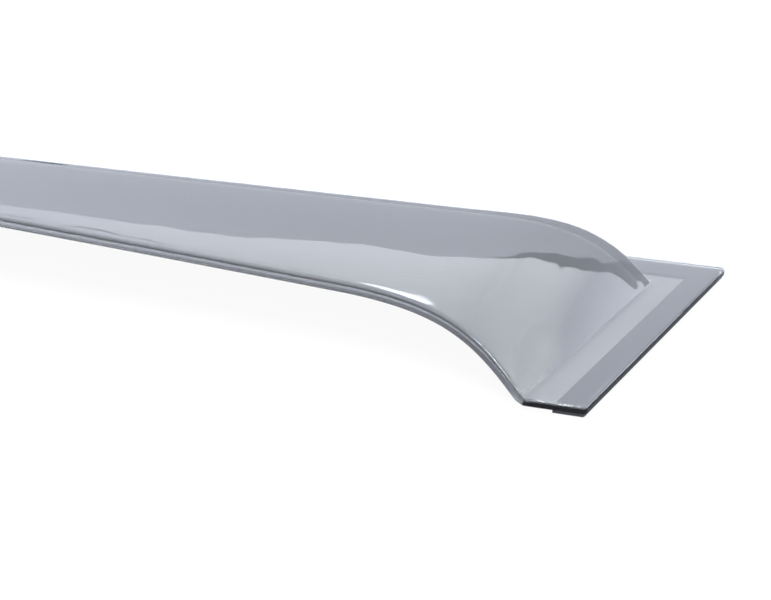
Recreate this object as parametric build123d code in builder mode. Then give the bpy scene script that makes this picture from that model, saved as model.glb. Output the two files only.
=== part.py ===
from build123d import *
import os
from math import atan, cos, hypot, radians, sin, tan

# Window rain deflector for a car's side door, lying outer face up on its tape.
# X runs along the door frame, with the rear end at +X. Y runs up the door, so the lip is at -Y.
# Z points out of the door. The origin is under the middle of the overall box, level with
# the underside of the tape.

# Overall sizes, in millimetres
overall_length = 700.0
overall_width = 93.5

# Acrylic sheet and foam tape
wall = 2.5
rim_radius = 1.2
tape_thickness = 1.0
tape_width = 8.0
tape_margin = 0.6
tape_gap = 0.2

# Mounting flange along the top and at both ends
flange_width = 17.0
rear_flange_width = 16.0
front_flange_width = 13.0
top_corner_radius = 1.5
low_corner_radius = 1.4

# Hood section: a steep riser, a rounded ridge and a crowned face that falls to the lip
ridge_height = 21.8
ridge_setback = 4.5
ridge_tip_setback = 0.6
ridge_round = 3.6
ridge_tip_round = 0.6
inner_ridge_round = 2.0
ridge_slope = 0.02
crown_radius = 200.0

# Rolled lip
lip_round = 1.5
lip_tip_round = 1.0
hem_drop = 0.8

# Reach of the lip from the riser's foot, along each section
sweep_reach = 63.5
front_reach = 26.0
front_flare = 4.0
flare_lead = 8.0
flare_power = 2.15
lip_step = 0.4

# Closed ends: the slant of each crease from Y, and the length over which the hood comes down
rear_slant = 20.4
front_slant = 20.0
rear_ramp = 58.0
front_ramp = 50.0
ramp_power = 4

# Sections that the hood is drawn through, in each end and between the ends
end_sections = 9
middle_sections = 6
end_crowding = 1.6

# Overlap between the solids that are joined, and room for the cuts outside the part
overrun = 1.0
foot_sink = 0.5
flange_lap = 5.0
cut_clearance = 6.0

# Levels and lines that follow from the sizes
flange_bottom = tape_thickness
flange_top = flange_bottom + wall
top_edge = overall_width / 2
low_edge = -overall_width / 2
foot_line = top_edge - flange_width
rear_angle = radians(rear_slant)
front_angle = radians(front_slant)


def corner_trim(angle):
    """How far a rounded top corner falls short of its sharp corner, along X."""
    return top_corner_radius * ((1 + sin(angle)) / cos(angle) - 1)


def rear_x(y, inset=0.0):
    """X at height y on a line that lies inset inside the rear end's edge."""
    corner = overall_length / 2 + corner_trim(rear_angle)
    return corner - (top_edge - y) * tan(rear_angle) - inset / cos(rear_angle)


def front_x(y, inset=0.0):
    """X at height y on a line that lies inset inside the front end's edge."""
    corner = -overall_length / 2 - corner_trim(front_angle)
    return corner + (top_edge - y) * tan(front_angle) + inset / cos(front_angle)


# Where the creases cross the riser's foot, and where each end's flare runs out
rear_crease = rear_x(foot_line, rear_flange_width)
front_crease = front_x(foot_line, front_flange_width)
rear_end = rear_crease - rear_ramp - flare_lead
front_end = front_crease + front_ramp + flare_lead

# The lip comes down at each crease just above the low edge of the end flange
rear_end_reach = (foot_line - low_edge - lip_step) / cos(rear_angle)
rear_flare = rear_end_reach - sweep_reach
front_end_reach = front_reach + front_flare
front_low_edge = foot_line - front_end_reach * cos(front_angle) - lip_step

# The riser's lean, its wall along Y, and how far each inner crease lies inside the outer one
riser_lean = ridge_setback / ridge_height
riser_length = hypot(ridge_setback, ridge_height)
riser_wall = wall * riser_length / ridge_height
rear_inset = wall * tan(atan(ramp_power * ridge_height / rear_ramp) / 2)
front_inset = wall * tan(atan(ramp_power * ridge_height / front_ramp) / 2)


def rise(distance, ramp):
    """Share of the full height at a distance inside a crease: steep first, easing out to 1."""
    return 1 - (1 - min(distance, ramp) / ramp) ** ramp_power


def flare(distance, length, extra):
    """Extra reach of the lip near a closed end."""
    inside = min(max(distance, 0.0), length)
    return extra * (1 - inside / length) ** flare_power


def outer_rise(x):
    """Share of the full height of the hood's outer face."""
    return min(rise(rear_crease - x, rear_ramp), rise(x - front_crease, front_ramp))


def inner_rise(x):
    """Share of the full height of the hood's inner face, which comes down a little sooner."""
    rear = rise(rear_crease - rear_inset - x, rear_ramp)
    front = rise(x - front_crease - front_inset, front_ramp)
    return min(rear, front)


def setback(share):
    """Distance of the ridge behind the foot: the ridge runs out almost at the foot."""
    return ridge_tip_setback + (ridge_setback - ridge_tip_setback) * max(share, 0.0)


def ridge_rounding(x):
    """Size of the ridge's round: it runs out towards both tips, where the ridge is sharp."""
    inside = min((rear_crease - x) / rear_ramp, (x - front_crease) / front_ramp, 1.0)
    return ridge_tip_round + (ridge_round - ridge_tip_round) * max(inside, 0.0)


def reach(x):
    """Distance of the lip from the foot: a long sweep along the door, and a flare at each end."""
    along = (x - front_crease) / (rear_crease - front_crease)
    sweep = (sweep_reach - front_reach) * along**2
    rear = flare(rear_crease - x, rear_ramp + flare_lead, rear_flare)
    front = flare(x - front_crease, front_ramp + flare_lead, front_flare)
    return front_reach + sweep + rear + front


def slant(x):
    """Lean of the section through the foot at x: that of the crease in each end."""
    share = min(max((x - front_end) / (rear_end - front_end), 0.0), 1.0)
    return share * rear_angle - (1 - share) * front_angle


def section_plane(x):
    """Upright plane through the foot at x: its X runs to the lip and its Y runs up."""
    towards_lip = (-sin(slant(x)), -cos(slant(x)), 0)
    along = (-cos(slant(x)), sin(slant(x)), 0)
    return Plane(origin=(x, foot_line, flange_top), x_dir=towards_lip, z_dir=along)


class Face:
    """Crowned face of one section: a parabola of one shape along the whole ridge."""

    def __init__(self, x, share, sink):
        self.share = share
        self.sink = sink
        self.lean = cos(slant(x))
        self.ridge = setback(share)

    def at(self, place):
        """Point of the face at a distance from the foot."""
        width = (place - self.ridge) * self.lean
        height = ridge_height - ridge_slope * width - width**2 / (2 * crown_radius)
        return Vector(place, self.share * height - self.sink)

    def along(self, place, step):
        """Point a step away from that place, along the face's tangent there."""
        width = (place - self.ridge) * self.lean
        slope = self.share * self.lean * (ridge_slope + width / crown_radius)
        return self.at(place) + Vector(step, -slope * step)

    def draw(self, start, end):
        """Curve of the face between two distances from the foot."""
        Bezier(self.at(start), self.along(start, (end - start) / 2), self.at(end))


def hood_profile(x):
    """Outer section of the hood, filled down past the flange's underside."""
    share = outer_rise(x)
    rounding = ridge_rounding(x)
    face = Face(x, share, sink=0.0)
    face_start = setback(share) + rounding
    face_end = reach(x) - lip_round
    roll = lip_tip_round + (lip_round - lip_tip_round) * max(share, 0.0)
    base = -wall - overrun
    foot = Vector(0, -foot_sink)
    ridge = face.along(face_start, -rounding)
    riser_end = ridge + (foot - ridge) * (rounding / riser_length)
    lip = face.along(face_end, lip_round)
    lip_end = lip - Vector(0, roll)
    Polyline(lip_end, (lip.X, base), (foot.X, base), foot, riser_end)
    Bezier(riser_end, ridge, face.at(face_start))
    face.draw(face_start, face_end)
    Bezier(face.at(face_end), lip, lip_end)


def hollow_profile(x):
    """Section of the space under the hood, open below and beyond the lip."""
    share = inner_rise(x)
    face = Face(x, share, sink=wall)
    face_start = setback(share) + riser_wall + inner_ridge_round
    face_end = reach(x) - wall
    floor = -wall - cut_clearance
    outside = reach(x) + cut_clearance
    hem_low = face.at(reach(x)).Y - hem_drop
    foot = Vector(riser_wall + riser_lean * floor, floor)
    ridge = face.along(face_start, -inner_ridge_round)
    riser_end = ridge + (foot - ridge) * (inner_ridge_round / riser_length)
    hem_top = face.at(face_end)
    Polyline(hem_top, (hem_top.X, hem_low), (outside, hem_low), (outside, floor), foot, riser_end)
    Bezier(riser_end, ridge, face.at(face_start))
    face.draw(face_start, face_end)


def end_places(length):
    """Distances inside a crease, closer together where the ramp is steep."""
    steps = range(1, end_sections + 1)
    return [-overrun] + [length * (step / end_sections) ** end_crowding for step in steps]


# Section places of the front end, the middle and the rear end
middle_step = (rear_end - front_end) / (middle_sections - 1)
stretches = [
    [front_crease + place for place in end_places(front_ramp + flare_lead)],
    [front_end + middle_step * step for step in range(middle_sections)],
    [rear_crease - place for place in end_places(rear_ramp + flare_lead)],
]

# One moulded sheet: a flat flange along the top and both ends, and a hood with closed ends
with BuildPart() as visor_shell:
    with BuildSketch(Plane.XY.offset(flange_bottom)):
        with BuildLine():
            rear_low = (rear_x(low_edge), low_edge)
            front_low = (front_x(front_low_edge), front_low_edge)
            rear_inner = rear_x(low_edge, rear_flange_width)
            front_inner = front_x(front_low_edge, front_flange_width)
            Polyline(
                (front_x(top_edge), top_edge),
                (rear_x(top_edge), top_edge),
                rear_low,
                (rear_inner, low_edge),
                (rear_inner, low_edge + flange_lap),
                (rear_crease - flange_lap, foot_line - flange_lap),
                (front_crease + flange_lap, foot_line - flange_lap),
                (front_inner, front_low_edge + flange_lap),
                (front_inner, front_low_edge),
                front_low,
                close=True,
            )
        make_face()
        fillet(vertices().group_by(Axis.Y)[-1], radius=top_corner_radius)
        for corner in (rear_low, front_low):
            fillet(vertices().sort_by_distance(corner)[0], radius=low_corner_radius)
    extrude(amount=wall)
    fillet(edges().group_by(Axis.Z)[-1], radius=rim_radius)
    for stretch in stretches:
        for place in stretch:
            with BuildSketch(section_plane(place)):
                with BuildLine():
                    hood_profile(place)
                make_face()
        loft()
    for stretch in stretches:
        for place in stretch:
            with BuildSketch(section_plane(place)):
                with BuildLine():
                    hollow_profile(place)
                make_face()
        loft(mode=Mode.SUBTRACT)
    split(bisect_by=Plane.XY.offset(flange_bottom), keep=Keep.TOP)
visor_shell.part.label = "visor_shell"

# Tape along the top edge, cut to the slant of both ends
tape_top = top_edge - tape_margin
tape_low = tape_top - tape_width
with BuildPart() as top_tape:
    with BuildSketch(Plane.XY):
        with BuildLine():
            Polyline(
                (front_x(tape_top, tape_margin), tape_top),
                (rear_x(tape_top, tape_margin), tape_top),
                (rear_x(tape_low, tape_margin), tape_low),
                (front_x(tape_low, tape_margin), tape_low),
                close=True,
            )
        make_face()
        fillet(vertices().group_by(Axis.Y)[-1], radius=top_corner_radius - tape_margin)
    extrude(amount=tape_thickness)
top_tape.part.label = "top_tape"

# Tape along each slanted end, butted against the top strip
end_tape_top = tape_low - tape_gap
inner_side = tape_margin + tape_width
end_tapes = []
for label, edge_x, flange_low in (
    ("rear_end_tape", rear_x, low_edge),
    ("front_end_tape", front_x, front_low_edge),
):
    tape_end = flange_low + tape_margin
    outer_low = (edge_x(tape_end, tape_margin), tape_end)
    with BuildPart() as end_tape:
        with BuildSketch(Plane.XY):
            with BuildLine():
                Polyline(
                    (edge_x(end_tape_top, tape_margin), end_tape_top),
                    outer_low,
                    (edge_x(tape_end, inner_side), tape_end),
                    (edge_x(end_tape_top, inner_side), end_tape_top),
                    close=True,
                )
            make_face()
            fillet(vertices().sort_by_distance(outer_low)[0], radius=low_corner_radius - tape_margin)
        extrude(amount=tape_thickness)
    end_tape.part.label = label
    end_tapes.append(end_tape)

os.makedirs("parts", exist_ok=True)
for piece in (visor_shell, top_tape, *end_tapes):
    export_step(piece.part, f"parts/{piece.part.label}.step")
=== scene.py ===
# %% [markdown]
# # Window rain deflector
# A car's side window deflector: one moulded sheet of smoke-grey acrylic, lying outer face up.
# A crowned hood runs along it, with a rolled lip on one side and a flat flange on the other.
# The hood closes down onto the flange at both ends, and foam tape lies under the flange.
# This lesson loads the engineered part, draws the sheet again as one smooth surface, gives
# acrylic and foam their finishes, and lights them as in a small studio.

# %% Load the part
from math import cos, pi, radians, sin, tan

import bpy
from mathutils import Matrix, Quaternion, Vector


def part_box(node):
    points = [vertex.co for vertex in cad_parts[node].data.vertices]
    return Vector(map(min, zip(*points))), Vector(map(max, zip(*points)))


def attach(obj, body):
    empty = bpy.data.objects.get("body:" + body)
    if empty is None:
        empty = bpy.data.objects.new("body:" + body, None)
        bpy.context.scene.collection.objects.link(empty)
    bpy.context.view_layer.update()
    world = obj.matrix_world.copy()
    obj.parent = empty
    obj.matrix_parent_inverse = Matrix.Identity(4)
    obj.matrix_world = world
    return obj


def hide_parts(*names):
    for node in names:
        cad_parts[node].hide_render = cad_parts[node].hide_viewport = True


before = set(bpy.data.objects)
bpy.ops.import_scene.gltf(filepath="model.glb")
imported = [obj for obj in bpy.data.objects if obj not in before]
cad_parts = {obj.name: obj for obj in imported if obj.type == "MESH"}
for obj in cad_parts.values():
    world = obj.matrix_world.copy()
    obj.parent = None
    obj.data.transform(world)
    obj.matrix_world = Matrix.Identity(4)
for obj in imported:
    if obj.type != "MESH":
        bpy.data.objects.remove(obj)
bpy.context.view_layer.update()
MM = 0.001
print("Nodes:", sorted(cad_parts))

# %% [markdown]
# ## Sizes
# The outline comes from the loaded part, so the new surface always lies where the part is.
# The other sizes describe the sheet the way its mould maker would: how tall the ridge is,
# how strongly the face is crowned, how far the lip reaches and how fast the ends come down.

# %% Sizes of the sheet, in metres
shell_low, shell_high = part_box("visor_shell")
flange_width = 17.0 * MM
flange_bottom = shell_low.z
foot_line = shell_high.y - flange_width
rear_slant = radians(20.4)
front_slant = radians(20.0)
top_corner_radius = 1.5 * MM
low_corner_radius = 1.4 * MM


def corner_trim(angle):
    """How far a rounded top corner falls short of its sharp corner, along X."""
    return top_corner_radius * ((1 + sin(angle)) / cos(angle) - 1)


rear_edge = shell_high.x + corner_trim(rear_slant) - flange_width * tan(rear_slant)
front_edge = shell_low.x - corner_trim(front_slant) + flange_width * tan(front_slant)
sizes = {
    "Wall": 2.5 * MM,
    "Tape clearance": 0.03 * MM,
    "Rim radius": 1.2 * MM,
    "Flange width": flange_width,
    "Rear flange": 16.0 * MM,
    "Front flange": 13.0 * MM,
    "Ridge height": 21.8 * MM,
    "Ridge setback": 4.5 * MM,
    "Ridge tip setback": 0.6 * MM,
    "Ridge round": 3.6 * MM,
    "Ridge tip round": 0.6 * MM,
    "Inner ridge round": 2.0 * MM,
    "Ridge slope": 0.02,
    "Crown radius": 200.0 * MM,
    "Lip round": 1.5 * MM,
    "Hem drop": 0.8 * MM,
    "Hem round": 0.6 * MM,
    "Sweep reach": 63.5 * MM,
    "Front reach": 26.0 * MM,
    "Front flare": 4.0 * MM,
    "Rear reach": (foot_line - shell_low.y) / cos(rear_slant),
    "Flare lead": 8.0 * MM,
    "Rear ramp": 58.0 * MM,
    "Front ramp": 50.0 * MM,
}
print("Foot of the riser at y =", round(foot_line / MM, 2), "mm")

# %% [markdown]
# ## The sheet as a rule
# The whole sheet follows one rule: a section that is swept along the door and sinks into the
# flange at both ends. It could be sculpted, or skinned over curves, but Geometry Nodes can
# hold the rule itself: a flat grid goes in, and each point's column and row say where on the
# sheet it belongs. The sums are many, so they are written as Python arithmetic on a small
# class, and each operator adds one Math node to the tree.

# %% Arithmetic that builds nodes
class Field:
    """A number that the tree works out at every point."""

    tree = None

    def __init__(self, socket):
        self.socket = socket

    def __add__(self, other):
        return math_node("ADD", self, other)

    def __radd__(self, other):
        return math_node("ADD", other, self)

    def __sub__(self, other):
        return math_node("SUBTRACT", self, other)

    def __rsub__(self, other):
        return math_node("SUBTRACT", other, self)

    def __mul__(self, other):
        return math_node("MULTIPLY", self, other)

    def __rmul__(self, other):
        return math_node("MULTIPLY", other, self)

    def __truediv__(self, other):
        return math_node("DIVIDE", self, other)

    def __pow__(self, other):
        return math_node("POWER", self, other)

    def __neg__(self):
        return math_node("MULTIPLY", self, -1.0)


def math_node(operation, *values, clamp=False):
    """Adds one Math node to the tree and returns its result."""
    node = Field.tree.nodes.new("ShaderNodeMath")
    node.operation = operation
    node.use_clamp = clamp
    for slot, value in zip(node.inputs, values):
        if isinstance(value, Field):
            Field.tree.links.new(value.socket, slot)
        else:
            slot.default_value = value
    return Field(node.outputs[0])


# %% Named sums
def share_of(value):
    """The value, held between 0 and 1."""
    return math_node("ADD", value, 0.0, clamp=True)


def least(first, second):
    return math_node("MINIMUM", first, second)


def most(first, second):
    return math_node("MAXIMUM", first, second)


def sine(angle):
    return math_node("SINE", angle)


def cosine(angle):
    return math_node("COSINE", angle)


def square_root(value):
    return math_node("SQRT", value)


# %% A tree with named sizes
shell_tree = bpy.data.node_groups.new("Deflector sheet", "GeometryNodeTree")
Field.tree = shell_tree
shell_tree.interface.new_socket("Geometry", in_out="INPUT", socket_type="NodeSocketGeometry")
shell_tree.interface.new_socket("Geometry", in_out="OUTPUT", socket_type="NodeSocketGeometry")
for name in sizes:
    shell_tree.interface.new_socket(name, in_out="INPUT", socket_type="NodeSocketFloat")
size_input = shell_tree.nodes.new("NodeGroupInput")
size = {name: Field(size_input.outputs[name]) for name in sizes}
print("Named sizes in the tree:", len(size))

# %% [markdown]
# ## Columns along the door
# Columns run along the door: the end wall, the rounded rim, the flat end flange and the ramp
# of each end, and the long middle. Each stretch has its own number of columns, so the tight
# rims and ramps get small faces and the quiet middle gets large ones. The column number is
# turned into one share for each stretch, from 0 before it to 1 after it.

# %% Column and row numbers of the grid
columns = {
    "front wall": 1,
    "front rim": 5,
    "front flange": 6,
    "front ramp": 56,
    "middle": 200,
    "rear ramp": 72,
    "rear flange": 8,
    "rear rim": 5,
    "rear wall": 1,
}
rows = {
    "top rim": 5,
    "flange": 8,
    "riser": 12,
    "ridge": 10,
    "face": 40,
    "lip": 12,
    "lip edge": 1,
    "hem outer corner": 3,
    "hem": 3,
    "hem inner corner": 3,
    "hem inside": 2,
    "inner face": 40,
    "inner ridge": 6,
    "inner riser": 12,
    "underside": 8,
    "top wall": 1,
}
column_count = sum(columns.values()) + 1
row_count = sum(rows.values()) + 1
grid = shell_tree.nodes.new("GeometryNodeMeshGrid")
grid.inputs["Size X"].default_value = column_count - 1
grid.inputs["Size Y"].default_value = row_count - 1
grid.inputs["Vertices X"].default_value = column_count
grid.inputs["Vertices Y"].default_value = row_count
position = shell_tree.nodes.new("GeometryNodeInputPosition")
split_position = shell_tree.nodes.new("ShaderNodeSeparateXYZ")
shell_tree.links.new(position.outputs[0], split_position.inputs[0])
column = Field(split_position.outputs["X"]) + (column_count - 1) / 2
row = Field(split_position.outputs["Y"]) + (row_count - 1) / 2


def stretch_shares(number, counts):
    """Share of each stretch that lies behind a column number."""
    shares = {}
    start = 0
    for name, count in counts.items():
        shares[name] = share_of((number - start) / count)
        start += count
    return shares


passed = stretch_shares(column, columns)
print("Grid of", column_count, "columns and", row_count, "rows")

# %% Place of each column on the riser's foot
ramp_crowding = 1.3
rear_rim = size["Rim radius"] / cos(rear_slant)
front_rim = size["Rim radius"] / cos(front_slant)
rear_crease = rear_edge - size["Rear flange"] / cos(rear_slant)
front_crease = front_edge + size["Front flange"] / cos(front_slant)
rear_run = size["Rear ramp"] + size["Flare lead"]
front_run = size["Front ramp"] + size["Flare lead"]
rear_end = rear_crease - rear_run
front_end = front_crease + front_run
foot = front_edge + front_rim * passed["front rim"] ** 2
foot = foot + (front_crease - front_edge - front_rim) * passed["front flange"]
foot = foot + front_run * passed["front ramp"] ** ramp_crowding
foot = foot + (rear_end - front_end) * passed["middle"]
foot = foot + rear_run * (1 - (1 - passed["rear ramp"]) ** ramp_crowding)
foot = foot + (rear_edge - rear_crease - rear_rim) * passed["rear flange"]
foot = foot + rear_rim * (1 - (1 - passed["rear rim"]) ** 2)
lean_share = share_of((foot - front_end) / (rear_end - front_end))
lean = lean_share * (rear_slant + front_slant) - front_slant
print("The foot runs from", round(front_edge / MM, 1), "to", round(rear_edge / MM, 1), "mm")

# %% [markdown]
# ## The ends and the lip
# At each end the hood rises steeply from its crease and eases out to its full height. The
# inner face comes down a little sooner, so that the sheet keeps its thickness round the bend.
# The lip sweeps out along the door and flares at the ends to meet the flange's low edge.

# %% Height share and reach of every section
ramp_power = 4
flare_power = 2.15


def rise(distance, ramp):
    """Share of the full height at a distance inside a crease."""
    return 1 - (1 - share_of(distance / ramp)) ** ramp_power


def flare(distance, run, extra):
    """Extra reach of the lip near a closed end."""
    return extra * (1 - share_of(distance / run)) ** flare_power


def bend_inset(ramp):
    """How far an inner crease lies inside its outer crease."""
    bend = math_node("ARCTANGENT", ramp_power * size["Ridge height"] / ramp)
    return size["Wall"] * math_node("TANGENT", bend / 2)


rear_inset = bend_inset(size["Rear ramp"])
front_inset = bend_inset(size["Front ramp"])
outer_share = least(
    rise(rear_crease - foot, size["Rear ramp"]),
    rise(foot - front_crease, size["Front ramp"]),
)
inner_share = least(
    rise(rear_crease - rear_inset - foot, size["Rear ramp"]),
    rise(foot - front_crease - front_inset, size["Front ramp"]),
)
along = share_of((foot - front_crease) / (rear_crease - front_crease))
reach = size["Front reach"] + (size["Sweep reach"] - size["Front reach"]) * along * along
reach = reach + flare(rear_crease - foot, rear_run, size["Rear reach"] - size["Sweep reach"])
reach = reach + flare(foot - front_crease, front_run, size["Front flare"])
print("Nodes with the ends and the lip:", len(shell_tree.nodes))

# %% [markdown]
# ## One section of the sheet
# A section is a closed loop of short curves: over the flange, up the riser, across the crowned
# face, round the lip, and back along the inside. Each curve is a quadratic Bezier with two end
# points and one bend point, which can be a straight line, a rounded corner or the exact
# parabola of the face. Points are pairs: the distance from the riser's foot and the height.

# %% The crowned face
under = size["Tape clearance"] - size["Wall"]
section_cosine = cosine(lean)
section_top = -size["Flange width"] / section_cosine
rim_run = size["Rim radius"] / section_cosine


class CrownedFace:
    """The parabola that the sheet follows from its ridge to its lip, outside or inside."""

    def __init__(self, share, sink):
        self.share = share
        self.sink = sink
        spread = size["Ridge setback"] - size["Ridge tip setback"]
        self.ridge = size["Ridge tip setback"] + spread * share

    def at(self, place):
        width = (place - self.ridge) * section_cosine
        fall = size["Ridge slope"] * width + width * width / (2 * size["Crown radius"])
        return place, self.share * (size["Ridge height"] - fall) - self.sink

    def along(self, place, step):
        """Point a step away from that place, along the face's tangent there."""
        width = (place - self.ridge) * section_cosine
        slope = self.share * section_cosine * (size["Ridge slope"] + width / size["Crown radius"])
        return place + step, self.at(place)[1] - slope * step


def between(first, second, share):
    return tuple(a + (b - a) * share for a, b in zip(first, second))


def kept_above_underside(spot):
    return spot[0], most(spot[1], under)


# %% Points on the outside
riser_length = square_root(size["Ridge setback"] ** 2 + size["Ridge height"] ** 2)
riser_wall = size["Wall"] * riser_length / size["Ridge height"]
riser_lean = size["Ridge setback"] / size["Ridge height"]
outer = CrownedFace(outer_share, 0.0)
outer_foot = (0.0, 0.0)
inside_rear = share_of((rear_crease - foot) / size["Rear ramp"])
inside_front = share_of((foot - front_crease) / size["Front ramp"])
round_growth = size["Ridge round"] - size["Ridge tip round"]
ridge_round = size["Ridge tip round"] + round_growth * least(inside_rear, inside_front)
face_start = outer.ridge + ridge_round
ridge = outer.along(face_start, -ridge_round)
riser_end = between(ridge, outer_foot, ridge_round / riser_length)
lip_growth = size["Lip round"] - size["Rim radius"]
# The lip has its full run where the hood has a third of its height.
lip_lead = 3
lip_run = size["Rim radius"] + lip_growth * share_of(outer_share * lip_lead)
lip_roll = size["Rim radius"] + lip_growth * outer_share
face_end = reach - lip_run
lip = outer.along(face_end, lip_run)
lip_end = (reach, lip[1] - lip_roll)
print("Nodes with the outside:", len(shell_tree.nodes))

# %% Points on the inside
inner = CrownedFace(inner_share, size["Wall"])
inner_foot = (riser_wall - riser_lean * size["Wall"], under)
inner_start = inner.ridge + riser_wall + size["Inner ridge round"]
inner_ridge = kept_above_underside(inner.along(inner_start, -size["Inner ridge round"]))
inner_riser_end = between(inner_ridge, inner_foot, size["Inner ridge round"] / riser_length)
hem_place = reach - size["Wall"]
hem_top = kept_above_underside(inner.at(hem_place))
hem_low = most(inner.at(reach)[1] - size["Hem drop"], under)
hem_round = size["Hem round"]
hem_round_top = least(hem_low + hem_round, hem_top[1])
print("Nodes with the inside:", len(shell_tree.nodes))

# %% The section as a chain of curves
flange_start = (section_top + rim_run, 0.0)
top_corner = (section_top, 0.0)
top_low = (section_top, under)
top_high = (section_top, -size["Rim radius"])
hem_outer = (reach - hem_round, hem_low)
hem_inner = (hem_place + hem_round, hem_low)


def line(first, second):
    """A straight curve: its bend point lies half-way."""
    return between(first, second, 0.5), second


def face_curve(face, first, last):
    """The stretch of a crowned face between two distances from the foot."""
    bend = face.along(first, (last - first) / 2)
    return kept_above_underside(bend), kept_above_underside(face.at(last))


curves = {
    "top rim": (top_corner, flange_start),
    "flange": line(flange_start, outer_foot),
    "riser": line(outer_foot, riser_end),
    "ridge": (ridge, outer.at(face_start)),
    "face": face_curve(outer, face_start, face_end),
    "lip": (lip, lip_end),
    "lip edge": line(lip_end, (reach, hem_low + hem_round)),
    "hem outer corner": ((reach, hem_low), hem_outer),
    "hem": line(hem_outer, hem_inner),
    "hem inner corner": ((hem_place, hem_low), (hem_place, hem_round_top)),
    "hem inside": line((hem_place, hem_round_top), hem_top),
    "inner face": face_curve(inner, hem_place, inner_start),
    "inner ridge": (inner_ridge, inner_riser_end),
    "inner riser": line(inner_riser_end, inner_foot),
    "underside": line(inner_foot, top_low),
    "top wall": line(top_low, top_high),
}


def follow(start, row_number):
    """Distance and height on the chain of curves, as the row number runs through them."""
    spot = start
    corner = start
    shares = stretch_shares(row_number, rows)
    for name, (bend, end) in curves.items():
        pull = 2 * shares[name] * (1 - shares[name])
        full = shares[name] * shares[name]
        spot = tuple(
            here + pull * (b - c) + full * (e - c)
            for here, b, c, e in zip(spot, bend, corner, end)
        )
        corner = end
    return spot


section_place, section_height = follow(top_high, row)
print("Curves in the section:", len(curves))

# %% [markdown]
# ## Rims and corners of the end flanges
# The end flanges have the same rounded rim as the top edge, and their corners are rounded in
# plan. A point's distance from the end edge gives the height of the rim there. The corners
# come from pulling a square onto a circle: a point near a corner moves in by as much as its
# square ring stands out from the round one.

# %% Rounded rims of the ends
from_rear = (rear_edge - foot) * cos(rear_slant)
from_front = (foot - front_edge) * cos(front_slant)
from_end = least(from_rear, from_front)
rim_gap = size["Rim radius"] - least(from_end, size["Rim radius"])
rim_height = square_root(most(size["Rim radius"] ** 2 - rim_gap ** 2, 0.0)) - size["Rim radius"]
inside_rim = math_node("GREATER_THAN", from_end, size["Rim radius"])
section_height = least(section_height, rim_height + inside_rim)
section_height = most(section_height, under)
wall_share = most(1 - passed["front wall"], passed["rear wall"])
section_height = section_height + (under - section_height) * wall_share
print("Nodes with the rims:", len(shell_tree.nodes))

# %% Rounded corners
smallest_spread = 1e-9


def pull_in(end_distance, edge_distance, corner_size):
    """How far a point near a corner moves in from the end and from the long edge."""
    end_side = most(corner_size - end_distance, 0.0)
    edge_side = most(corner_size - edge_distance, 0.0)
    ring = most(end_side, edge_side)
    spread = square_root(end_side * end_side + edge_side * edge_side)
    excess = 1 - ring / most(spread, smallest_spread)
    near = math_node("GREATER_THAN", least(end_side, edge_side), 0.0)
    return end_side * excess * near, edge_side * excess * near


end_slant = (rear_slant + front_slant) / 2
top_size = top_corner_radius * (1 + sin(end_slant))
low_size = low_corner_radius * (1 - sin(end_slant))
from_top = (section_place - section_top) * section_cosine
from_low = (reach - section_place) * section_cosine
top_end_pull, top_edge_pull = pull_in(from_end, from_top, top_size)
low_end_pull, low_edge_pull = pull_in(from_end, from_low, low_size)
towards_middle = 1 - 2 * math_node("GREATER_THAN", foot, 0.0)
foot = foot + towards_middle * (top_end_pull + low_end_pull) / cos(end_slant)
section_place = section_place + (top_edge_pull - low_edge_pull) / section_cosine
print("Corner sizes in mm:", round(top_size / MM, 2), "and", round(low_size / MM, 2))

# %% [markdown]
# ## Marks, seams and shading
# The sheet is polished outside, while its inside looks matte and gets painted shade, and its hem
# gets painted shade too. The finish has to tell them apart, so each face carries a number: 0
# outside, one half on the hem and 1 inside. A painted mask could do that too, but each point's row
# already says where it lies.
# The grid's first and last rows meet, and merging close points closes the sheet. Faces are
# shaded smooth, apart from edges that are sharp on the real sheet.

# %% Place the points and mark the inside
placed = shell_tree.nodes.new("ShaderNodeCombineXYZ")
place_x = foot - sine(lean) * section_place
place_y = foot_line - section_cosine * section_place
place_z = flange_bottom + size["Wall"] + section_height
for slot, value in zip(placed.inputs, (place_x, place_y, place_z)):
    shell_tree.links.new(value.socket, slot)
hem_mark = 0.5
inside_growth = 1.0 * MM
row_names = list(rows)
hem_start = sum(rows[name] for name in row_names[:row_names.index("hem outer corner")])
inside_start = sum(rows[name] for name in row_names[:row_names.index("hem inside")])
above_underside = share_of((section_height - under) / inside_growth)
past_hem_start = math_node("GREATER_THAN", row, hem_start)
past_inside_start = math_node("GREATER_THAN", row, inside_start)
inside = (hem_mark * past_hem_start + (1 - hem_mark) * past_inside_start) * above_underside
mark_inside = shell_tree.nodes.new("GeometryNodeStoreNamedAttribute")
mark_inside.data_type = "FLOAT"
mark_inside.domain = "FACE"
mark_inside.inputs["Name"].default_value = "inside"
shell_tree.links.new(inside.socket, mark_inside.inputs["Value"])
print("The hem starts at row", hem_start, "and the inside at row", inside_start)

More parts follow.
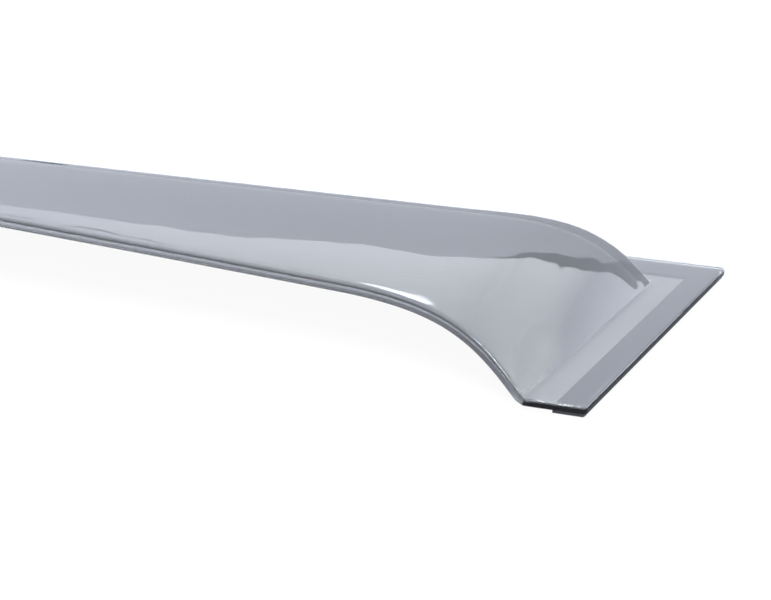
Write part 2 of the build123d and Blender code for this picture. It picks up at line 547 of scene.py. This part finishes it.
# %% Finish the tree
crease_angle = radians(30)
merge_distance = 1e-6
set_position = shell_tree.nodes.new("GeometryNodeSetPosition")
shell_tree.links.new(placed.outputs[0], set_position.inputs["Position"])
merge = shell_tree.nodes.new("GeometryNodeMergeByDistance")
merge.inputs["Distance"].default_value = merge_distance
flip = shell_tree.nodes.new("GeometryNodeFlipFaces")
smooth = shell_tree.nodes.new("GeometryNodeSetShadeSmooth")
edge_angle = shell_tree.nodes.new("GeometryNodeInputMeshEdgeAngle")
sharp_edge = math_node("GREATER_THAN", Field(edge_angle.outputs["Unsigned Angle"]), crease_angle)
sharpen = shell_tree.nodes.new("GeometryNodeSetShadeSmooth")
sharpen.domain = "EDGE"
sharpen.inputs["Shade Smooth"].default_value = False
shell_tree.links.new(sharp_edge.socket, sharpen.inputs["Selection"])
realize = shell_tree.nodes.new("GeometryNodeRealizeInstances")
finish = shell_tree.nodes.new("GeometryNodeSetMaterial")
shell_output = shell_tree.nodes.new("NodeGroupOutput")
chain = [grid, mark_inside, set_position, merge, flip, smooth, sharpen, realize, finish, shell_output]
for earlier, later in zip(chain, chain[1:]):
    shell_tree.links.new(earlier.outputs[0], later.inputs[0])
print("Nodes in the tree:", len(shell_tree.nodes))

# %% [markdown]
# ## Finishes
# Moulded acrylic is never quite flat: it has faint waves that bend reflections, and a fine
# haze. Foam tape has small cells. Both effects are noise at different scales, so one node group
# makes the noise and each finish places it with its own values.

# %% Shared unevenness
def new_group(name, inputs, outputs):
    """An empty shader node group with named number sockets."""
    group = bpy.data.node_groups.new(name, "ShaderNodeTree")
    for label, kind in inputs:
        group.interface.new_socket(label, in_out="INPUT", socket_type=kind)
    for label, kind in outputs:
        group.interface.new_socket(label, in_out="OUTPUT", socket_type=kind)
    return group


uneven = new_group(
    "Unevenness",
    [("Vector", "NodeSocketVector"), ("Scale", "NodeSocketFloat"), ("Detail", "NodeSocketFloat"),
     ("Low", "NodeSocketFloat"), ("High", "NodeSocketFloat")],
    [("Height", "NodeSocketFloat"), ("Value", "NodeSocketFloat")],
)
uneven_in = uneven.nodes.new("NodeGroupInput")
uneven_out = uneven.nodes.new("NodeGroupOutput")
uneven_noise = uneven.nodes.new("ShaderNodeTexNoise")
uneven_range = uneven.nodes.new("ShaderNodeMapRange")
for label in ("Vector", "Scale", "Detail"):
    uneven.links.new(uneven_in.outputs[label], uneven_noise.inputs[label])
uneven.links.new(uneven_noise.outputs["Fac"], uneven_range.inputs["Value"])
uneven.links.new(uneven_in.outputs["Low"], uneven_range.inputs["To Min"])
uneven.links.new(uneven_in.outputs["High"], uneven_range.inputs["To Max"])
uneven.links.new(uneven_noise.outputs["Fac"], uneven_out.inputs["Height"])
uneven.links.new(uneven_range.outputs["Result"], uneven_out.inputs["Value"])
print("Shared group:", uneven.name)


# %% Helpers for materials
def new_material(name):
    """A material with an empty tree and an output node."""
    material = bpy.data.materials.new(name)
    material.use_nodes = True
    material.node_tree.nodes.clear()
    output = material.node_tree.nodes.new("ShaderNodeOutputMaterial")
    return material, material.node_tree, output


def place_unevenness(tree, stretch, scale, detail, low=0.0, high=1.0):
    """The shared noise on the piece's own coordinates, stretched along each axis."""
    coordinates = tree.nodes.new("ShaderNodeTexCoord")
    mapping = tree.nodes.new("ShaderNodeMapping")
    mapping.inputs["Scale"].default_value = stretch
    noise = tree.nodes.new("ShaderNodeGroup")
    noise.node_tree = uneven
    for label, value in (("Scale", scale), ("Detail", detail), ("Low", low), ("High", high)):
        noise.inputs[label].default_value = value
    tree.links.new(coordinates.outputs["Object"], mapping.inputs["Vector"])
    tree.links.new(mapping.outputs["Vector"], noise.inputs["Vector"])
    return noise


def bump_from(tree, noise, strength, distance):
    """A Bump node that reads the noise's height."""
    bump = tree.nodes.new("ShaderNodeBump")
    bump.inputs["Strength"].default_value = strength
    bump.inputs["Distance"].default_value = distance
    tree.links.new(noise.outputs["Height"], bump.inputs["Height"])
    return bump


def seen_by(tree):
    """Which rays meet a surface: camera rays, mirrored rays and rays through the plastic."""
    Field.tree = tree
    path = tree.nodes.new("ShaderNodeLightPath")
    through = Field(path.outputs["Is Transmission Ray"])
    mirrored = Field(path.outputs["Is Glossy Ray"]) * (1 - through)
    return Field(path.outputs["Is Camera Ray"]), mirrored, through


def mix_shaders(tree, share, first, second):
    """Mixes two shaders, with the share that the second one has."""
    mix = tree.nodes.new("ShaderNodeMixShader")
    tree.links.new(share, mix.inputs["Fac"])
    tree.links.new(first.outputs[0], mix.inputs[1])
    tree.links.new(second.outputs[0], mix.inputs[2])
    return mix


plain_white = (1.0, 1.0, 1.0, 1.0)
cool_tint = (0.95, 1.0, 1.14, 1.0)
print("Tint of mirrored light:", cool_tint[:3])

# %% [markdown]
# ## Smoked acrylic
# The sheet is clear plastic with a smoke dye all through it. A tint on the surface alone would
# leave the edges as pale as the face. A Volume Absorption inside the sheet darkens light by the
# length of its way through the plastic, so the cut edges turn nearly black by themselves.
# The hem and the inside, which little light reaches, get painted shade, a dark tint by their
# marks, and the inside is matte as well. Lamps reach the floor through the sheet because shadow
# rays meet a clear surface. Where the sheet mirrors itself, a painted reflection, a plain glow,
# stands in for the polished face, which is full of the bright room.

# %% Smoked acrylic surface
refraction = 1.49
haze_roughness = 0.035
matte_inside = 0.4
wave_depth = 0.045 * MM
painted_shade_tint = (0.03, 0.03, 0.036, 1.0)
acrylic, tree, output = new_material("Smoked acrylic")
plastic = tree.nodes.new("ShaderNodeBsdfPrincipled")
plastic.inputs["IOR"].default_value = refraction
plastic.inputs["Transmission Weight"].default_value = 1.0
waves = place_unevenness(tree, stretch=(0.6, 1.0, 1.0), scale=150.0, detail=0.5)
haze = place_unevenness(tree, stretch=(0.5, 1.0, 1.0), scale=160.0, detail=4.0, high=haze_roughness)
wave_bump = bump_from(tree, waves, strength=1.0, distance=wave_depth)
tree.links.new(wave_bump.outputs["Normal"], plastic.inputs["Normal"])
inside_mark = tree.nodes.new("ShaderNodeAttribute")
inside_mark.attribute_name = "inside"
Field.tree = tree
marked = Field(inside_mark.outputs["Fac"])
painted_shade_share = share_of(marked / hem_mark)
inside_alone = share_of((marked - hem_mark) / (1 - hem_mark))
roughness = Field(haze.outputs["Value"]) + matte_inside * inside_alone
tree.links.new(roughness.socket, plastic.inputs["Roughness"])
# A Mix node has sockets of the same names for every kind of value, so colours go by number.
first_color, second_color, mixed_color = 6, 7, 2
# Painted shade: the hem and the inside get a dark tint, mixed in by their mark.
painted_shade_mix = tree.nodes.new("ShaderNodeMix")
painted_shade_mix.data_type = "RGBA"
painted_shade_mix.inputs[first_color].default_value = plain_white
painted_shade_mix.inputs[second_color].default_value = painted_shade_tint
tree.links.new(painted_shade_share.socket, painted_shade_mix.inputs["Factor"])
tree.links.new(painted_shade_mix.outputs[mixed_color], plastic.inputs["Base Color"])
print("Finish:", acrylic.name)

# %% Smoked acrylic in shadows and mirrors, and its dye
shadow_tint = (0.6, 0.6, 0.62, 1.0)
painted_reflection_strength = 4.5
dye_color = (0.155, 0.19, 0.19, 1.0)
dye_density = 400.0
clear = tree.nodes.new("ShaderNodeBsdfTransparent")
clear.inputs["Color"].default_value = shadow_tint
light_path = tree.nodes.new("ShaderNodeLightPath")
surface = mix_shaders(tree, light_path.outputs["Is Shadow Ray"], plastic, clear)
# Painted reflection: a plain glow on the sheet, seen only by mirrored rays from outside.
painted_reflection = tree.nodes.new("ShaderNodeEmission")
painted_reflection.inputs["Color"].default_value = cool_tint
painted_reflection.inputs["Strength"].default_value = painted_reflection_strength
side = tree.nodes.new("ShaderNodeNewGeometry")
_, mirrored_rays, _ = seen_by(tree)
from_outside = mirrored_rays * (1 - Field(side.outputs["Backfacing"]))
surface = mix_shaders(tree, from_outside.socket, surface, painted_reflection)
tree.links.new(surface.outputs["Shader"], output.inputs["Surface"])
dye = tree.nodes.new("ShaderNodeVolumeAbsorption")
dye.inputs["Color"].default_value = dye_color
dye.inputs["Density"].default_value = dye_density
tree.links.new(dye.outputs["Volume"], output.inputs["Volume"])
print("Density of the dye:", dye_density)

# %% [markdown]
# ## Foam tape
# The mounting tape is closed-cell foam in dark grey, seen mostly through the flange. A matte
# surface with fine cells and slight changes of tone is all that shows.

# %% Foam tape
foam_roughness = 0.85
foam_shine = 0.2
cell_depth = 0.03 * MM
dark_cell = (0.06, 0.06, 0.07, 1.0)
pale_cell = (0.09, 0.09, 0.105, 1.0)
foam, tree, output = new_material("Foam tape")
matte = tree.nodes.new("ShaderNodeBsdfPrincipled")
matte.inputs["Roughness"].default_value = foam_roughness
matte.inputs["Specular IOR Level"].default_value = foam_shine
cells = place_unevenness(tree, stretch=(1.0, 1.0, 1.0), scale=2600.0, detail=3.0)
tone = tree.nodes.new("ShaderNodeValToRGB")
tone.color_ramp.elements[0].color = dark_cell
tone.color_ramp.elements[1].color = pale_cell
cell_bump = bump_from(tree, cells, strength=0.3, distance=cell_depth)
tree.links.new(cells.outputs["Value"], tone.inputs["Fac"])
tree.links.new(tone.outputs["Color"], matte.inputs["Base Color"])
tree.links.new(cell_bump.outputs["Normal"], matte.inputs["Normal"])
tree.links.new(matte.outputs["BSDF"], output.inputs["Surface"])
for name in ("top_tape", "rear_end_tape", "front_end_tape"):
    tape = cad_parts[name]
    tape.data.materials.clear()
    tape.data.materials.append(foam)
print("Finish:", foam.name)

# %% [markdown]
# ## The smooth sheet
# The tree runs on an empty mesh, with its sizes set on the modifier. Its result becomes a plain
# mesh, which takes the place of the engineered sheet.

# %% Run the tree and keep its mesh
finish.inputs["Material"].default_value = acrylic
sheet = bpy.data.objects.new("smoked_sheet", bpy.data.meshes.new("smoked_sheet"))
bpy.context.scene.collection.objects.link(sheet)
modifier = sheet.modifiers.new("Deflector sheet", "NODES")
modifier.node_group = shell_tree
for item in shell_tree.interface.items_tree:
    if item.in_out == "INPUT" and item.name in sizes:
        modifier[item.identifier] = sizes[item.name]
depsgraph = bpy.context.evaluated_depsgraph_get()
sheet_mesh = bpy.data.meshes.new_from_object(sheet.evaluated_get(depsgraph))
sheet.modifiers.remove(modifier)
sheet.data = sheet_mesh
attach(sheet, "root")
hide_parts("visor_shell")
print("Faces in the sheet:", len(sheet_mesh.polygons))

# %% [markdown]
# ## Studio
# The part lies on a white floor in a bright room. The camera sees the floor mostly as its own
# white, with enough of its lit colour to keep the part's soft shadow. Light that comes through
# the sheet has only the lit colour, so the smoke dye darkens it on the way down and up again.
# The polished sheet also mirrors the floor. In mirrored rays the floor glows with painted light:
# bright in front of the part, with painted shade near the lip that shades it, and dimmer behind
# the part. From below it is clear.

# %% Floor, and its strength in mirrored rays
floor_size = 8.0
floor_drop = 0.05 * MM
# Strengths of the floor's painted reflection, with a painted shadow near and under the lip.
floor_front = 9.5
painted_lip_shadow = 1.4
floor_behind = 3.5
behind_start, behind_end = 0.055, 0.12
painted_lip_shadow_reach = 40.0 * MM
lip_line_power = 3
full_shade, shade_power = 1.05, 8
clearing_power = 2
bpy.ops.mesh.primitive_plane_add(size=floor_size, location=(0.0, 0.0, -floor_drop))
floor = bpy.context.object
floor.name = "floor"
white, tree, output = new_material("White floor")
camera_rays, mirrored_rays, _ = seen_by(tree)
floor_place = tree.nodes.new("ShaderNodeTexCoord")
floor_split = tree.nodes.new("ShaderNodeSeparateXYZ")
tree.links.new(floor_place.outputs["Object"], floor_split.inputs[0])
floor_x = Field(floor_split.outputs["X"])
floor_y = Field(floor_split.outputs["Y"])
along_floor = share_of((floor_x - shell_low.x) / (shell_high.x - shell_low.x))
lip_start = foot_line - sizes["Front reach"]
lip_line = lip_start - (lip_start - shell_low.y) * along_floor ** lip_line_power
shade_run = painted_lip_shadow_reach * (full_shade - along_floor ** shade_power)
clear_of_lip = share_of((lip_line - floor_y) / shade_run)
front_strength = painted_lip_shadow + (floor_front - painted_lip_shadow) * clear_of_lip ** clearing_power
behind = share_of((floor_y - behind_start) / (behind_end - behind_start))
mirrored_strength = front_strength + behind * (floor_behind - front_strength)
print("Floor of", floor_size, "m")

# %% Finish of the floor
floor_white_share = 0.93
floor_color = (0.92, 0.92, 0.92, 1.0)
lit = tree.nodes.new("ShaderNodeBsdfDiffuse")
lit.inputs["Color"].default_value = floor_color
glow = tree.nodes.new("ShaderNodeEmission")
# The floor's painted reflection, which only mirrored rays see.
painted_floor_reflection = tree.nodes.new("ShaderNodeEmission")
painted_floor_reflection.inputs["Color"].default_value = cool_tint
tree.links.new(mirrored_strength.socket, painted_floor_reflection.inputs["Strength"])
below = tree.nodes.new("ShaderNodeNewGeometry")
see_through = tree.nodes.new("ShaderNodeBsdfTransparent")
floor_white = camera_rays * floor_white_share
floor_mix = mix_shaders(tree, floor_white.socket, lit, glow)
floor_mix = mix_shaders(tree, mirrored_rays.socket, floor_mix, painted_floor_reflection)
floor_mix = mix_shaders(tree, below.outputs["Backfacing"], floor_mix, see_through)
tree.links.new(floor_mix.outputs["Shader"], output.inputs["Surface"])
floor.data.materials.append(white)
print("Finish:", white.name)

# %% [markdown]
# ## Room
# Polished acrylic looks like what stands round it. The room is over-bright, as in a photo with
# a white background. In mirrored rays it is brightest high up and behind the part, and dimmer
# low down on the other sides, so that the smoke keeps its tone when seen from there. A picture
# of a real studio could stand in for it, but a few sums on the direction are enough.

# %% Room
room_light = 0.6
room_white = 1.0
room_mirrored = 6.8
room_mirrored_low = 2.2
low_end, high_start = 0.35, 0.8
rear_start = 0.2
room = bpy.data.worlds.new("White room")
bpy.context.scene.world = room
room.use_nodes = True
tree = room.node_tree
tree.nodes.clear()
camera_rays, mirrored_rays, through_rays = seen_by(tree)
room_output = tree.nodes.new("ShaderNodeOutputWorld")
plain_room = tree.nodes.new("ShaderNodeBackground")
plain_room.inputs["Color"].default_value = plain_white
bright_room = tree.nodes.new("ShaderNodeBackground")
bright_room.inputs["Color"].default_value = cool_tint
towards = tree.nodes.new("ShaderNodeTexCoord")
split_towards = tree.nodes.new("ShaderNodeSeparateXYZ")
tree.links.new(towards.outputs["Generated"], split_towards.inputs[0])
high_up = share_of((Field(split_towards.outputs["Z"]) - low_end) / (high_start - low_end))
rear_side = share_of(Field(split_towards.outputs["Y"]) / rear_start)
bright_share = most(high_up, rear_side)
bright_strength = room_mirrored_low + bright_share * (room_mirrored - room_mirrored_low)
tree.links.new(bright_strength.socket, bright_room.inputs["Strength"])
room_strength = room_light + (camera_rays + through_rays) * (room_white - room_light)
tree.links.new(room_strength.socket, plain_room.inputs["Strength"])
room_mix = mix_shaders(tree, mirrored_rays.socket, plain_room, bright_room)
tree.links.new(room_mix.outputs["Shader"], room_output.inputs["Surface"])
print("Room is", room_mirrored, "bright in mirrored rays")

# %% [markdown]
# ## Cards
# Photographers stand cards round a polished part to draw its form. A grey board that is brighter
# at its top stands behind this one, and a dark card looks out behind the board's rounded corner.
# Their edges are mirrored along the crowned face, and the mirrored lines show the crown better
# than any shading could. A slanted bar above the board, a small dark gap in it and a dark mat on
# the floor at the rear end are mirrored as short marks. Only mirrored rays see the cards.

# %% Helpers for cards
right_start = 0.5


def add_card(name, outline, depth, material):
    """An upright card behind the part that only mirrored rays can see."""
    mesh = bpy.data.meshes.new(name)
    mesh.from_pydata([(x, depth, z) for x, z in outline], [], [range(len(outline))])
    mesh.materials.append(material)
    card = bpy.data.objects.new(name, mesh)
    bpy.context.scene.collection.objects.link(card)
    card.visible_camera = False
    card.visible_diffuse = False
    card.visible_transmission = False
    card.visible_shadow = False
    return card


def card_material(name, strength, growth=0.0, left_fade=0.0, right_rise=0.0, least_strength=0.0):
    """A glowing card: its strength changes with each metre up, to the left and to the far right."""
    material, tree, output = new_material(name)
    Field.tree = tree
    where = tree.nodes.new("ShaderNodeTexCoord")
    spot = tree.nodes.new("ShaderNodeSeparateXYZ")
    tree.links.new(where.outputs["Object"], spot.inputs[0])
    brightness = strength + growth * Field(spot.outputs["Z"])
    brightness = brightness + left_fade * least(Field(spot.outputs["X"]), 0.0)
    brightness = most(brightness, least_strength)
    brightness = brightness + right_rise * most(Field(spot.outputs["X"]) - right_start, 0.0)
    emission = tree.nodes.new("ShaderNodeEmission")
    emission.inputs["Color"].default_value = cool_tint
    tree.links.new(brightness.socket, emission.inputs["Strength"])
    tree.links.new(emission.outputs["Emission"], output.inputs["Surface"])
    return material


# %% Cards round the part
board_depth = 0.9
card_step = 0.01
board_left = -4.0
board_outline = [(board_left, 0.0), (board_left, 1.06), (-0.7, 1.065), (-0.31, 1.09), (-0.14, 1.015)]
board_outline += [(0.02, 1.035), (0.17, 1.1), (0.45, 1.09), (0.925, 1.04), (1.14, 0.905), (1.38, 0.7)]
board_outline += [(1.415, 0.57), (1.43, 0.43), (1.43, 0.0)]
dark_outline = [(-0.1, 0.0), (-0.1, 1.0), (0.02, 1.035), (0.17, 1.11), (0.5, 1.15), (0.76, 1.16)]
dark_outline += [(1.11, 1.11), (1.37, 0.89), (1.487, 0.665), (1.56, 0.47), (1.585, 0.3), (1.6, 0.0)]
bar_outline = [(-0.85, 1.12), (-0.6, 1.225), (-0.2, 1.53), (-0.2, 1.555), (-0.6, 1.255), (-0.85, 1.155)]
gap_outline = [(-0.47, 0.48), (-0.43, 0.4), (-0.39, 0.46), (-0.43, 0.52)]
mat_outline = [(0.297, 0.0), (0.45, 0.0), (0.45, 0.15), (0.297, 0.15)]
mat_place = (0.0, -0.1, 0.1 * MM)
board_finish = card_material(
    "Grey board", strength=1.7, growth=3.9, left_fade=0.8, right_rise=0.9, least_strength=3.6)
cards = [
    ("grey_board", board_outline, board_depth, board_finish),
    ("dark_card", dark_outline, board_depth + card_step, card_material("Dark card", strength=3.5)),
    ("bar", bar_outline, board_depth, card_material("Grey bar", strength=4.3)),
    ("gap", gap_outline, board_depth - card_step, card_material("Dark gap", strength=1.0)),
    ("dark_mat", mat_outline, 0.0, card_material("Black card", strength=0.5)),
]
placed_cards = {card[0]: add_card(*card) for card in cards}
placed_cards["dark_mat"].location = mat_place
placed_cards["dark_mat"].rotation_euler = (radians(-90), 0.0, 0.0)
print("Cards round the part:", len(placed_cards))

# %% [markdown]
# ## Soft lights
# A studio's soft lights show in a polished face as pale clouds without an edge. Area lamps could
# make them, but lamps would light the floor and the foam as well. Here each is a card that glows
# in its middle and fades to clear at its rim, and only mirrored rays see it. A wide one stands
# behind the part and one at its rear corner. A turned strip makes a short streak, and two small
# ones brighten the end flange's front rim and the low end of the rear crease.

# %% Soft lights
soft_tint = (0.94, 1.0, 1.08, 1.0)


def add_glow(name, place, half_width, half_height, strength, turn=0.0):
    """A card that faces the part and is brightest in its middle. It can be turned in its own plane."""
    material, tree, output = new_material(name)
    Field.tree = tree
    where = tree.nodes.new("ShaderNodeTexCoord")
    shape = tree.nodes.new("ShaderNodeMapping")
    shape.vector_type = "TEXTURE"
    shape.inputs["Scale"].default_value = (half_width, 1.0, half_height)
    radius = tree.nodes.new("ShaderNodeVectorMath")
    radius.operation = "LENGTH"
    tree.links.new(where.outputs["Object"], shape.inputs["Vector"])
    tree.links.new(shape.outputs["Vector"], radius.inputs[0])
    fade = share_of(1 - Field(radius.outputs["Value"]) ** 2)
    emission = tree.nodes.new("ShaderNodeEmission")
    emission.inputs["Color"].default_value = soft_tint
    emission.inputs["Strength"].default_value = strength
    clear = tree.nodes.new("ShaderNodeBsdfTransparent")
    mix = mix_shaders(tree, fade.socket, clear, emission)
    tree.links.new(mix.outputs["Shader"], output.inputs["Surface"])
    outline = [(-half_width, -half_height), (half_width, -half_height), (half_width, half_height),
               (-half_width, half_height)]
    card = add_card(name, outline, 0.0, material)
    card.location = place
    card.rotation_mode = "QUATERNION"
    aim = (-Vector(place)).to_track_quat("-Y", "Z")
    card.rotation_quaternion = aim @ Quaternion((0.0, 1.0, 0.0), turn)


soft_lights = {
    "soft_wall": dict(place=(0.05, 1.1, 1.8), half_width=1.3, half_height=1.1, strength=9.4),
    "soft_corner": dict(place=(1.1, 0.85, 1.5), half_width=0.9, half_height=0.9, strength=9.8),
    "strip_light": dict(place=(0.0, 0.6, 1.2), half_width=0.13, half_height=0.055, strength=30.0,
                        turn=radians(-30)),
    "rim_light": dict(place=(0.22, -0.45, 1.2), half_width=0.1, half_height=0.22, strength=60.0),
    "crease_light": dict(place=(0.326, -0.0105, 0.036), half_width=0.011, half_height=0.022,
                         strength=9.0),
}
for name, values in soft_lights.items():
    add_glow(name, **values)
print("Soft lights:", len(soft_lights))

# %% [markdown]
# ## Lamp
# One large softbox above the part lights the floor and the foam, and draws the soft shadow. It
# is kept out of mirrored rays, because the cards and soft lights already make what they show.

# %% Lamp
def add_softbox(name, place, target, width, height, radiance):
    """A rectangular lamp of an even brightness, turned to its target."""
    lamp_data = bpy.data.lights.new(name, "AREA")
    lamp_data.shape = "RECTANGLE"
    lamp_data.size = width
    lamp_data.size_y = height
    lamp_data.energy = radiance * width * height * pi
    lamp = bpy.data.objects.new(name, lamp_data)
    bpy.context.scene.collection.objects.link(lamp)
    lamp.location = place
    lamp.rotation_mode = "QUATERNION"
    lamp.rotation_quaternion = (Vector(target) - Vector(place)).to_track_quat("-Z", "Y")
    lamp.visible_camera = False
    lamp.visible_glossy = False
    return lamp


softbox = add_softbox(
    "softbox", place=(0.1, 0.2, 1.4), target=(0.1, 0.0, 0.0), width=1.6, height=1.2, radiance=4.0)
print("Lamp:", softbox.name)

# %% [markdown]
# ## Camera
# The camera stands near the rear end and looks down along the sheet. The photograph's frame is
# 771 by 600 pixels, and the lens is given by its focal length in those pixels.

# %% Camera
frame_width_px = 771
focal_px = 1200
sensor_mm = 36.0
nearest_seen = 0.01
camera_place = (333.27 * MM, -317.45 * MM, 186.6 * MM)
degrees_down = 29.4
degrees_left = 15.1
camera_data = bpy.data.cameras.new("camera")
camera_data.sensor_width = sensor_mm
camera_data.lens = sensor_mm * focal_px / frame_width_px
camera_data.clip_start = nearest_seen
camera = bpy.data.objects.new("camera", camera_data)
bpy.context.scene.collection.objects.link(camera)
camera.location = camera_place
camera.rotation_euler = (radians(90 - degrees_down), 0.0, radians(degrees_left))
bpy.context.scene.camera = camera
bpy.context.scene.view_settings.view_transform = "Standard"
print("Lens in mm:", round(camera_data.lens, 2))
